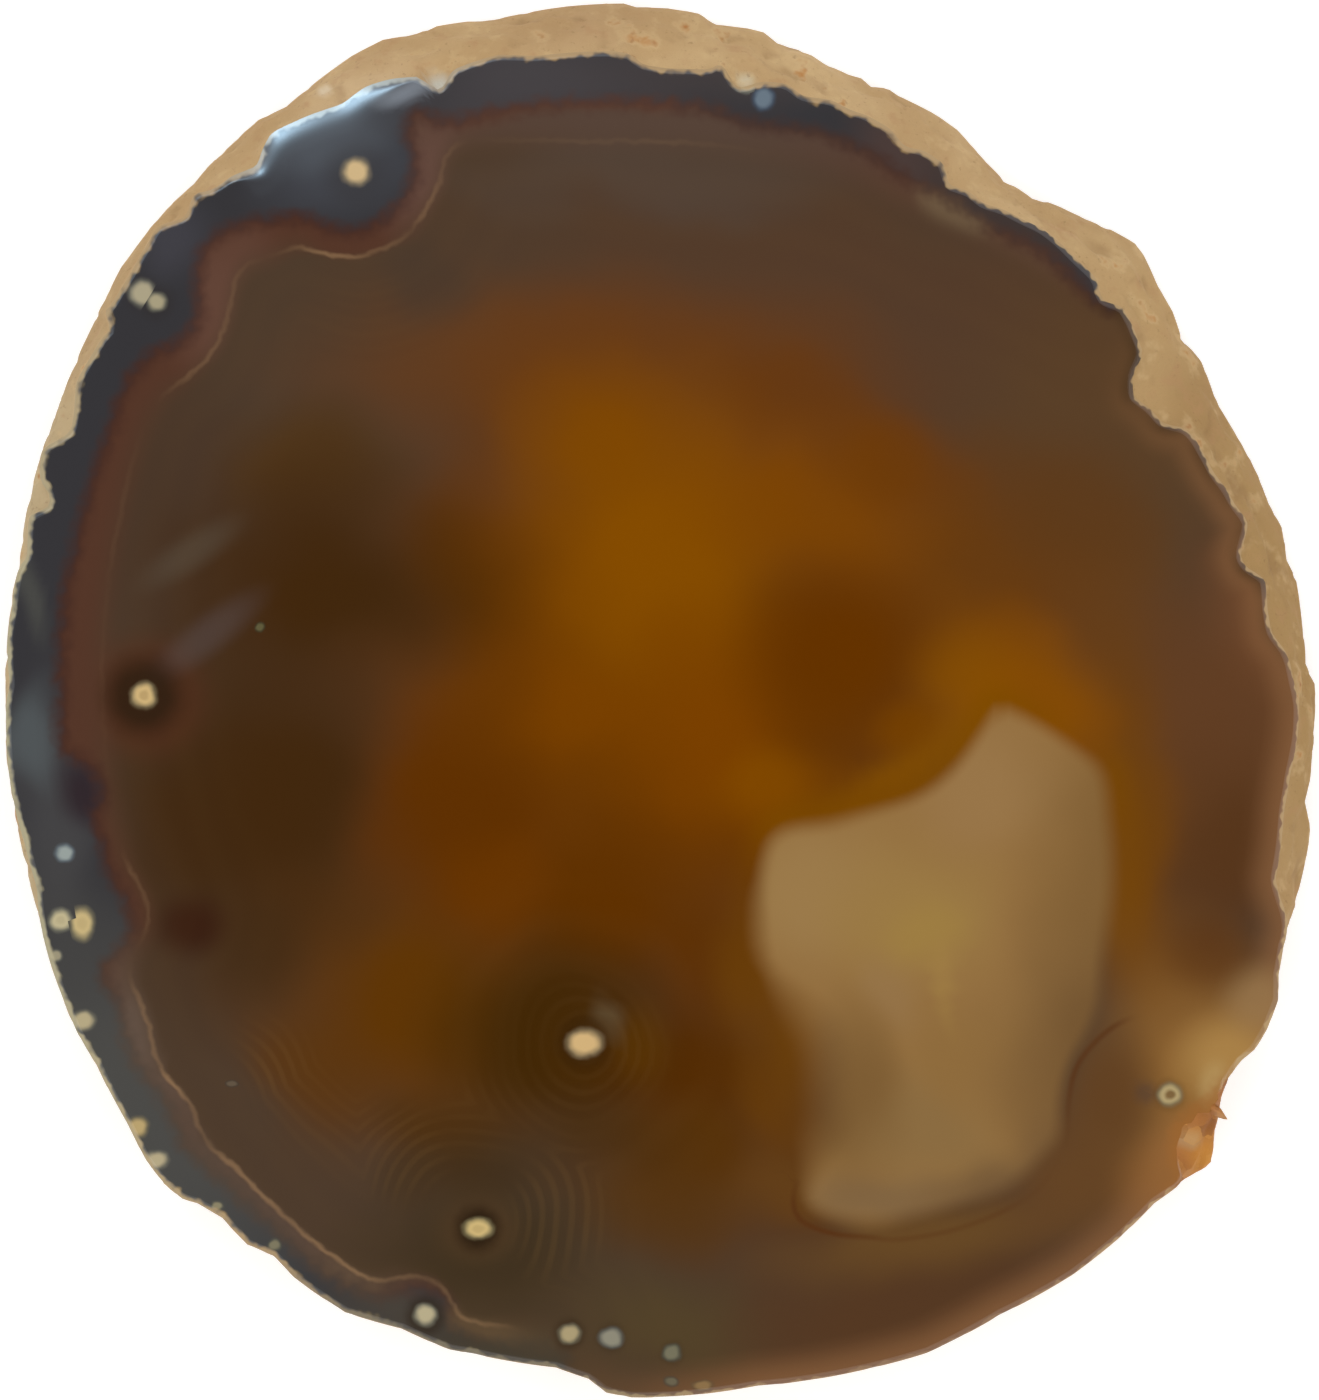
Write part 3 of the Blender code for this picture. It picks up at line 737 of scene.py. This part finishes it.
def add_sharp_seam(mesh, slab):
    """Keeps the line where the polish meets the skin crisp in the shading."""
    count = len(slab.angles)
    last_ring = max(number for number, ring in enumerate(slab.rings) if ring[0] == "polish")
    first = 1 + last_ring * count
    ends = np.empty(2 * len(mesh.edges), np.int32)
    mesh.edges.foreach_get("vertices", ends)
    on_seam = ((ends >= first) & (ends < first + count)).reshape(-1, 2).all(1)
    mesh.attributes.new("sharp_edge", "BOOLEAN", "EDGE").data.foreach_set("value", on_seam)


def pattern_places(slab, points):
    """Where each point lies in the pattern, which leans outwards below the polished face."""
    lean = np.clip(slab.polish / slab.foot, LEAST_LEAN_SHARE, 1.0) - 1
    factors = []
    for part, reach, height, relief in slab.rings:
        share = 0.0 if part == "polish" else np.clip(reach / slab.foot, 0, 1) ** 3
        factors.append(1 + lean * share)
    return points[:, :2] * slab.spread(factors, 1.0, 1.0)[:, None]


def rim_distances(slab, points):
    """Distance of each point from the outline of its own flat face, up to a limit."""
    polished = slab.spread([part == "polish" for part, *rest in slab.rings], True, False)
    distances = np.full(len(points), float(RIM_LIMIT_MM))
    for chosen, reach in ((polished, slab.polish), (~polished, slab.foot)):
        outline = slab.directions * reach[:, None]
        near = chosen & (np.hypot(points[:, 0], points[:, 1]) > reach.min() - RIM_LIMIT_MM)
        gaps = distance_to_path(points[near, :2], [*map(tuple, outline), tuple(outline[0])])
        distances[near] = np.minimum(gaps, RIM_LIMIT_MM)
    return distances


def add_eyes(mesh, places, faces):
    """Gives each face the eye nearest to it, so that one set of nodes draws them all."""
    middles = np.array([places[list(face)].mean(0) for face in faces])
    eyes = DARK_EYES + [(*eye, *NO_DARK) for eye in PLAIN_EYES]
    centres = np.array([(x, y, 0) for x, y, *rest in eyes])
    nearest = np.argmin(np.hypot(*(middles[:, None] - centres[:, :2]).transpose(2, 0, 1)), axis=1)
    fields = {
        "eye_centre": centres,
        "eye_scale": [(1 / width, 1 / height, 0) for x, y, width, height, *rest in eyes],
        "eye_colour": [srgb(*colour)[:3] for x, y, width, height, colour, *rest in eyes],
        "eye_dark": [(1 / reach, dark, middle) for *rest, reach, dark, middle in eyes],
    }
    for name, values in fields.items():
        add_attribute(mesh, name, np.array(values)[nearest], "FACE")


def stone_colours(places, soft_places, rim, angles):
    """Colours of the clear stone, with its painted glow of light coming through it and its dark seam
    inside the skin.
    """
    colours = cloud_colours(soft_places, STONE_GROUND, STONE_CLOUDS)
    # Painted glow of light through the thin stone along the lower right of the rim
    glow = GLOW_STRENGTH * smooth_step(1 - rim / GLOW_WIDTH_MM) * span_share(angles, GLOW_SPAN)
    lay_over(colours, glow, GLOW_COLOUR)
    lay_clouds(colours, places, STONE_SPOTS)
    patches = [0.5 + 0.5 * noise.noise(Vector((x, y, 0)) / DARK_SEAM_PATCH_MM) for x, y in places]
    dark_seam = smooth_step(1 - rim / DARK_SEAM_MM) * span_share(angles, DARK_SEAM_SPAN) * patches
    lay_over(colours, dark_seam, DARK_SEAM_COLOUR)
    return colours


def add_fields(mesh, slab, points, faces):
    """Distances in mm, strengths and clouds of colour that the stone's material reads."""
    places = pattern_places(slab, points)
    soft_places = drifted(places)
    angles = np.arctan2(points[:, 1], points[:, 0])
    rim = rim_distances(slab, points)
    bare, shine = span_share(angles, BARE_SPAN), span_share(angles, SHINE_SPAN)
    line = signed_distance(places, PALE_LINE, LINE_CLOSING)
    growth = line.copy()
    for centre, start in LARGE_EYES:
        growth = np.minimum(growth, np.hypot(*(places - np.array(centre)).T) - start)
    sway = [noise.noise_vector(Vector((x, y, 4)) / SWAY_SIZE_MM) for x, y in places]
    fields = {
        "pattern": np.column_stack([places, np.zeros(len(places))]),
        "sway": 0.5 + 0.5 * np.array(sway),
        "black": signed_distance(places, BLACK_EDGE, BLACK_CLOSING),
        "line": line,
        "growth": growth,
        "window": signed_distance(places, WINDOW),
        "thread": signed_distance(places, THREAD, THREAD_CLOSING),
        "rim": rim,
        "relief": slab.spread([ring[3] for ring in slab.rings], 0.0, 0.0),
        "bare": bare,
        "shine": shine,
        "glossy": np.maximum(shine, bare),
        "fringe": LEAST_FRINGE + (1 - LEAST_FRINGE) * span_share(angles, FRINGE_SPAN),
        "line_strength": stretch_strengths(places, LINE_STRETCHES),
        "growth_strength": stretch_strengths(places, GROWTH_STRETCHES),
        "olive_strength": stretch_strengths(places, OLIVE_STRETCHES),
        "thread_strength": stretch_strengths(places, THREAD_STRETCHES),
        "window_softness": 1 + 2 * stretch_strengths(places, SOFT_WINDOW_STRETCHES),
        "stone_colour": stone_colours(places, soft_places, rim, angles),
        "window_colour": cloud_colours(soft_places, WINDOW_GROUND, WINDOW_CLOUDS),
        "band_colour": cloud_colours(soft_places, BAND_GROUND, BAND_CLOUDS),
        "edge_colour": cloud_colours(soft_places, EDGE_GROUND, EDGE_CLOUDS),
        "black_colour": cloud_colours(soft_places, BLACK_GROUND, BLACK_CLOUDS),
        "skin_colour": cloud_colours(points[:, :2], SKIN_GROUND, SKIN_CLOUDS),
        "bare_colour": cloud_colours(points[:, :2], BARE_GROUND, BARE_CLOUDS),
        "rim_colour": cloud_colours(places, RIM_GROUND, RIM_CLOUDS),
    }
    for name, values in fields.items():
        add_attribute(mesh, name, values)
    add_eyes(mesh, places, faces)


# Layout of the flat map: the polished face at the left, the underside at the right,
# and the wall in two strips along the bottom
MAP_MARGIN = 0.004
MAP_FACE_BASE = 0.26
MAP_POLISH_HEIGHT = 0.735
MAP_UNDERSIDE_WIDTH = 0.27
MAP_STRIP_TOPS = (0.235, 0.12)
MAP_STRIP_HEIGHT = 0.105


def add_map(mesh, slab, points, parts, turns):
    """Unfolds the slab flat, without overlaps."""
    corners = np.empty(len(mesh.loops), np.int32)
    mesh.loops.foreach_get("vertex_index", corners)
    sides = np.empty(len(mesh.polygons), np.int32)
    mesh.polygons.foreach_get("loop_total", sides)
    parts, turns = np.repeat(parts, sides), np.repeat(turns, sides)
    low = points[:, :2].min(0)
    width, height = points[:, :2].max(0) - low
    x, y = (points[corners, :2] - low).T

    polish_scale = MAP_POLISH_HEIGHT / height
    polish = (MAP_MARGIN + x * polish_scale, MAP_FACE_BASE + y * polish_scale)
    underside_scale = MAP_UNDERSIDE_WIDTH / width
    underside = (1 - MAP_MARGIN - x * underside_scale, MAP_FACE_BASE + y * underside_scale)

    count = len(slab.angles)
    half = count // 2
    ring, column = np.divmod(corners - 1, count)
    column = np.where((column == 0) & (turns > 0), count, column)
    second = turns >= half
    along = (column - half * second) / (count - half)
    wall_rings = [number for number, ring_data in enumerate(slab.rings) if ring_data[0] == "skin"]
    down = (ring - wall_rings[0] + 1) / len(wall_rings)
    top = np.where(second, MAP_STRIP_TOPS[1], MAP_STRIP_TOPS[0])
    wall = (MAP_MARGIN + (1 - 2 * MAP_MARGIN) * along, top - MAP_STRIP_HEIGHT * down)

    chosen = [parts == "polish", parts == "underside"]
    flat = [np.select(chosen, (polish[axis], underside[axis]), wall[axis]) for axis in (0, 1)]
    mesh.uv_layers.new(name="OFBake").data.foreach_set("uv", np.stack(flat, 1).ravel().astype(np.float32))


def build_mesh(solid):
    slab = Slab(solid)
    points = slab.points()
    faces, parts, turns = slab.faces()
    mesh = bpy.data.meshes.new("polished_agate_slice")
    mesh.from_pydata((points * MM).tolist(), [], faces)
    slots = {"polish": 0, "skin": 1, "underside": 2}
    mesh.polygons.foreach_set("material_index", [slots[part] for part in parts])
    mesh.polygons.foreach_set("use_smooth", [True] * len(faces))
    add_sharp_seam(mesh, slab)
    add_fields(mesh, slab, points, faces)
    add_map(mesh, slab, points, parts, turns)
    mesh.update()
    return mesh


class Painter:
    """Chains colour changes in a node tree, each over the last."""

    def __init__(self, owner):
        self.nodes = owner.node_tree.nodes
        self.links = owner.node_tree.links
        self.colour = None

    def node(self, kind, **settings):
        made = self.nodes.new(kind)
        for name, value in settings.items():
            setattr(made, name, value)
        return made

    def feed(self, socket, value):
        if isinstance(value, bpy.types.NodeSocket):
            self.links.new(value, socket)
        else:
            socket.default_value = value

    def feed_all(self, node, values):
        """Feeds a node's inputs by their names."""
        for name, value in values.items():
            self.feed(node.inputs[name], value)

    def field(self, name, output="Fac"):
        return self.node("ShaderNodeAttribute", attribute_name=name).outputs[output]

    def worked_out(self, kind, operation, values):
        made = self.node(kind, operation=operation)
        for socket, value in zip(made.inputs, values):
            self.feed(socket, value)
        return made.outputs

    def math(self, operation, *values):
        return self.worked_out("ShaderNodeMath", operation, values)[0]

    def vector_math(self, operation, *values):
        outputs = self.worked_out("ShaderNodeVectorMath", operation, values)
        return outputs["Value" if operation == "LENGTH" else "Vector"]

    def split(self, vector):
        made = self.node("ShaderNodeSeparateXYZ")
        self.feed(made.inputs[0], vector)
        return made.outputs

    def ramp(self, value, start, end, low=0.0, high=1.0):
        """A smooth change from low to high as the value goes from start to end."""
        made = self.node("ShaderNodeMapRange", interpolation_type="SMOOTHSTEP")
        limits = {"From Min": start, "From Max": end, "To Min": low, "To Max": high}
        self.feed_all(made, {"Value": value, **limits})
        return made.outputs["Result"]

    def times(self, first, second):
        return self.math("MULTIPLY", first, second)

    def swayed(self, value, pattern, reach):
        """The value shifted to and fro by a pattern of noise."""
        return self.math("MULTIPLY_ADD", self.math("SUBTRACT", pattern, 0.5), reach, value)

    def noise(self, place, size, detail=2.0, roughness=0.5, output="Fac"):
        """Noise with lumps of about the given size in mm."""
        made = self.node("ShaderNodeTexNoise")
        lumps = {"Scale": 1 / size, "Detail": detail, "Roughness": roughness}
        self.feed_all(made, {"Vector": place, **lumps})
        return made.outputs[output]

    def over(self, share, colour):
        """Lays a colour, from another node or as the photograph shows it, over what is there."""
        if not isinstance(colour, bpy.types.NodeSocket):
            colour = srgb(*colour)
        made = self.node("ShaderNodeMix", data_type="RGBA")
        self.feed_all(made, {"Factor": share, "A": self.colour, "B": colour})
        self.colour = made.outputs["Result"]


FINE_LINES_MM = 1.05
COARSE_LINES_MM = 3.3


def paint_growth_lines(paint, broad):
    """Faint lines where one layer of the stone followed another."""
    growth = paint.field("growth")
    phase = paint.math("MULTIPLY_ADD", broad[0], 2.4, growth)
    fine = paint.ramp(paint.math("SINE", paint.times(phase, 2 * math.pi / FINE_LINES_MM)), -0.4, 1.0)
    coarse = paint.math("SINE", paint.times(phase, 2 * math.pi / COARSE_LINES_MM))
    strength = paint.times(paint.field("growth_strength"), paint.ramp(broad[2], 0.3, 0.6, 0.04, 0.11))
    lines = paint.math("MULTIPLY_ADD", fine, strength, paint.ramp(coarse, -1.0, 1.0, 0.0, 0.012))
    paint.over(paint.times(lines, paint.ramp(growth, 13.0, 6.0)), GROWTH_LINE_COLOUR)


WINDOW_EDGE_MM = 0.35


def paint_window(paint, broad):
    """The pale window, with an olive fringe and a thin dark thread round it."""
    middle = paint.math("SUBTRACT", paint.swayed(paint.field("window"), broad[1], 2.0), WINDOW_EDGE_MM)
    edge = paint.math("DIVIDE", middle, paint.field("window_softness"))
    olive = paint.times(paint.ramp(edge, -3.2, -0.4, 0.0, 0.65), paint.field("olive_strength"))
    paint.over(olive, OLIVE_COLOUR)
    # The window's pale colour, brightened by painted light coming through the clear stone
    paint.over(paint.ramp(edge, -0.9, 1.1), paint.field("window_colour", "Color"))
    thread = paint.ramp(paint.math("ABSOLUTE", paint.field("thread")), 0.4, 0.0)
    strength = paint.times(paint.field("thread_strength"), paint.ramp(broad[2], 0.3, 0.6, 0.3, 0.65))
    paint.over(paint.times(thread, strength), THREAD_COLOUR)


def paint_bands(paint, broad, fine):
    """Red-brown band and near-black band under the skin, with the thin pale line inside them."""
    line, black, strength = paint.field("line"), paint.field("black"), paint.field("line_strength")
    softness = paint.ramp(strength, 0.0, 0.6, 1.7, 0.5)
    inside = paint.ramp(paint.math("DIVIDE", line, softness), 1.0, -1.0)
    paint.over(inside, paint.field("band_colour", "Color"))
    away = paint.math("ABSOLUTE", paint.swayed(line, fine[2], 0.5))
    near = paint.times(paint.ramp(away, 0.34, 0.0), strength)
    paint.over(paint.times(near, paint.ramp(broad[2], 0.3, 0.6, 0.45, 1.0)), PALE_LINE_COLOUR)
    ragged = paint.swayed(black, fine[0], 1.3)
    paint.over(paint.ramp(ragged, 1.7, 0.2, 0.0, 0.6), paint.field("edge_colour", "Color"))
    # The near-black band's colours hold painted reflections: haze at the left and a glow round the shine
    # at the upper left
    paint.over(paint.ramp(ragged, 0.9, -0.7), paint.field("black_colour", "Color"))


EYE_FRINGE_TINT = (0.45, 0.5, 0.6)
EYE_WOBBLE_MM = (0.4, 0.4, 0.0)


def paint_eyes(paint, place, fine):
    """Pale tube eyes, each with the dark round it."""
    shift = paint.vector_math("SUBTRACT", fine, (0.5, 0.5, 0.5))
    wobbly = paint.vector_math("MULTIPLY_ADD", shift, EYE_WOBBLE_MM, place)
    away = paint.vector_math("SUBTRACT", wobbly, paint.field("eye_centre", "Vector"))
    scaled = paint.vector_math("MULTIPLY", away, paint.field("eye_scale", "Vector"))
    near = paint.vector_math("LENGTH", scaled)
    per_reach, dark, middle = paint.split(paint.field("eye_dark", "Vector"))
    reach = paint.times(paint.vector_math("LENGTH", away), per_reach)
    paint.over(paint.times(paint.ramp(reach, 1.0, 0.35), dark), EYE_DARK_COLOUR)
    colour = paint.field("eye_colour", "Color")
    fringe = paint.vector_math("MULTIPLY", colour, EYE_FRINGE_TINT)
    paint.over(paint.ramp(near, 1.35, 0.8, 0.0, 0.7), fringe)
    paint.over(paint.ramp(near, 1.05, 0.5), colour)
    paint.over(paint.times(paint.ramp(near, 0.6, 0.2), middle), EYE_MIDDLE_COLOUR)


def paint_rim(paint, fine):
    """Where the polish meets the skin, the skin shows through the last of the stone; at the upper left a
    painted highlight runs along it.
    """
    ragged = paint.swayed(paint.field("rim"), fine[1], 1.1)
    bare = paint.field("bare")
    strength = paint.ramp(bare, 0.0, 0.6, 0.9, 0.0)
    fringe = paint.math("DIVIDE", ragged, paint.field("fringe"))
    paint.over(paint.ramp(fringe, 0.5, 0.1, 0.0, strength), paint.field("rim_colour", "Color"))
    paint.over(paint.times(paint.ramp(ragged, 1.3, 0.2, 0.0, 0.75), bare), BARE_RIM_COLOUR)


def new_material(name):
    material = bpy.data.materials.new(name)
    material.use_nodes = True
    return material, Painter(material)


# Roughness of the polished and the sawn face, and what is added to it along the rim
# and where the polished edge shines
POLISHED_ROUGHNESS = 0.06
SAWN_ROUGHNESS = 0.3
DULL_ROUGHNESS = 0.5
SHINE_ROUGHNESS = 0.18


def polished_stone(name, roughness):
    material, paint = new_material(name)
    place = paint.field("pattern", "Vector")
    broad = paint.split(paint.field("sway", "Vector"))
    fine_vector = paint.noise(place, 1.1, 1.0, 0.6, output="Color")
    fine = paint.split(fine_vector)
    paint.colour = paint.field("stone_colour", "Color")
    paint_growth_lines(paint, broad)
    paint_window(paint, broad)
    paint_bands(paint, broad, fine)
    paint_eyes(paint, place, fine_vector)
    paint_rim(paint, fine)
    rim, shine = paint.field("rim"), paint.field("shine")
    dull_share = paint.ramp(paint.field("glossy"), 1.0, 0.0, 0.0, DULL_ROUGHNESS)
    dull = paint.ramp(rim, 0.8, 0.0, 0.0, dull_share)
    softness = paint.ramp(shine, 0.0, 0.3, 0.0, SHINE_ROUGHNESS)
    soft = paint.math("ADD", paint.ramp(rim, 3.2, 2.0, 0.0, softness), roughness)
    finish = {"Base Color": paint.colour, "Roughness": paint.math("ADD", soft, dull), "IOR": 1.54}
    paint.feed_all(paint.nodes["Principled BSDF"], finish)
    return material


# Facets of the bare stone at the chip, and the height over which it gives way to skin below
FACET_SIZE_MM = 1.3
BARE_FOOT_MM = (0.8, 2.4)

PIT_DEPTH = 0.15 * MM


def rough_skin():
    """Tan outer skin of the nodule: matt, mottled and pitted, with bare amber stone at the chip. Its
    colours hold painted shade in the hollows and on the right side, and painted highlights beside the
    shine.
    """
    material, paint = new_material("tan skin")
    coordinates = paint.node("ShaderNodeTexCoord").outputs["Object"]
    place = paint.vector_math("MULTIPLY", coordinates, (1 / MM, 1 / MM, 1 / MM))
    broad = paint.noise(place, 9.0, 2.0)
    blotches = paint.noise(place, 2.6, 3.0, 0.6)
    fine = paint.noise(place, 0.5, 3.0, 0.65)
    paint.colour = paint.field("skin_colour", "Color")
    paint.over(paint.ramp(broad, 0.42, 0.62, 0.0, 0.4), (170, 134, 88))
    paint.over(paint.ramp(blotches, 0.52, 0.70, 0.0, 0.5), (208, 178, 132))
    paint.over(paint.ramp(blotches, 0.44, 0.30, 0.0, 0.4), (176, 134, 94))
    paint.over(paint.ramp(fine, 0.40, 0.25, 0.0, 0.4), (132, 100, 64))
    # Painted shade: darker in the hollows of the skin's relief
    paint.over(paint.ramp(paint.field("relief"), -0.04, -0.22, 0.0, 0.4), (144, 110, 72))
    ragged = paint.swayed(paint.field("bare"), blotches, 1.6)
    bare = paint.ramp(ragged, 0.2, 0.5, 0.0, paint.ramp(paint.split(place)["Z"], *BARE_FOOT_MM))
    facets = paint.node("ShaderNodeTexVoronoi")
    paint.feed_all(facets, {"Vector": place, "Scale": 1 / FACET_SIZE_MM})
    facet = paint.split(facets.outputs["Color"])
    paint.over(bare, paint.field("bare_colour", "Color"))
    paint.over(paint.times(bare, paint.ramp(facet[0], 0.4, 0.7, 0.0, 0.35)), (206, 146, 70))
    paint.over(paint.times(bare, paint.ramp(facet[1], 0.6, 0.8, 0.0, 0.4)), (126, 74, 28))
    bump = paint.node("ShaderNodeBump")
    pits = paint.noise(place, 0.4, 3.0, 0.7)
    paint.feed_all(bump, {"Strength": 0.6, "Distance": PIT_DEPTH, "Height": pits})
    paint.feed_all(paint.nodes["Principled BSDF"], {
        "Base Color": paint.colour,
        "Roughness": paint.ramp(bare, 0.2, 0.8, 0.85, 0.65),
        "IOR": 1.5,
        "Specular IOR Level": 0.2,
        "Normal": bump.outputs["Normal"],
    })
    return material


def add_object(name, data):
    made = bpy.data.objects.new(name, data)
    bpy.context.scene.collection.objects.link(made)
    return made


def build_slice():
    mesh = build_mesh(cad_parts[NODE])
    mesh.materials.append(polished_stone("polished agate", POLISHED_ROUGHNESS))
    mesh.materials.append(rough_skin())
    mesh.materials.append(polished_stone("sawn agate", SAWN_ROUGHNESS))
    agate = add_object("polished_agate_slice", mesh)
    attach(agate, "root")
    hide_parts(NODE)


WHITE = (1.0, 1.0, 1.0, 1.0)
FLOOR_HALF_SIDE = 1.5
FLOOR_LEVEL = -0.05 * MM
FLOOR_GLOW = 0.55
FLOOR_WHITE = 0.65


def build_floor():
    mesh = bpy.data.meshes.new("floor")
    side, level = FLOOR_HALF_SIDE, FLOOR_LEVEL
    corners = [(-side, -side, level), (side, -side, level), (side, side, level), (-side, side, level)]
    mesh.from_pydata(corners, [], [(0, 1, 2, 3)])
    material, paint = new_material("pale floor")
    paint.feed_all(paint.nodes["Principled BSDF"], {
        "Base Color": (FLOOR_WHITE, FLOOR_WHITE, FLOOR_WHITE, 1.0),
        "Emission Color": WHITE,
        "Emission Strength": FLOOR_GLOW,
        "Roughness": 0.9,
        "Specular IOR Level": 0.0,
    })
    mesh.materials.append(material)
    floor = add_object("floor", mesh)


# Studio light: a pale dome with a dim top and a dim belt low down, where the polish mirrors it,
# and one lamp at the upper left that only glosses show
DOME_LIGHT = 1.98
TOP_LIGHT = 0.0
TOP_SPAN = np.cos(np.radians([36, 18]))
BELT_LIGHT = 0.36
BELT_FOOT = np.sin(np.radians([0.8, 2.2]))
BELT_HEAD = np.sin(np.radians([30, 38]))
LAMP_DISTANCE = 0.8
LAMP_DIAMETER = 0.12
LAMP_FROM_TOP = math.radians(30)
LAMP_ANGLE = math.radians(124)
LAMP_POWER = 1.8
LAMP_COLOUR = (0.52, 0.78, 1.0)


def light_scene():
    world = bpy.data.worlds.new("dome")
    bpy.context.scene.world = world
    world.use_nodes = True
    paint = Painter(world)
    up = paint.split(paint.node("ShaderNodeTexCoord").outputs["Generated"])["Z"]
    above_belt = paint.ramp(up, *BELT_HEAD, BELT_LIGHT, DOME_LIGHT)
    from_foot = paint.ramp(up, *BELT_FOOT, DOME_LIGHT, above_belt)
    strength = paint.ramp(up, *TOP_SPAN, from_foot, TOP_LIGHT)
    paint.feed_all(paint.nodes["Background"], {"Color": WHITE, "Strength": strength})

    light = bpy.data.lights.new("lamp", "AREA")
    light.shape = "DISK"
    light.size = LAMP_DIAMETER
    light.energy = LAMP_POWER
    light.color = LAMP_COLOUR
    lamp = add_object("lamp", light)
    outwards, upwards = math.sin(LAMP_FROM_TOP), math.cos(LAMP_FROM_TOP)
    towards = Vector((outwards * math.cos(LAMP_ANGLE), outwards * math.sin(LAMP_ANGLE), upwards))
    lamp.location = towards * LAMP_DISTANCE
    lamp.rotation_euler = towards.to_track_quat("Z", "Y").to_euler()
    lamp.visible_diffuse = False


def place_camera():
    camera = add_object("camera", bpy.data.cameras.new("camera"))
    camera.data.lens = CAMERA_LENS_MM
    camera.data.sensor_width = SENSOR_MM
    distance = PHOTO_LONG_SIDE * CAMERA_LENS_MM / SENSOR_MM
    camera.location = (*PHOTO_MIDDLE, CAD_BOX[1].z + distance)
    bpy.context.scene.camera = camera


build_slice()
build_floor()
light_scene()
place_camera()
bpy.context.scene.view_settings.view_transform = "Standard"
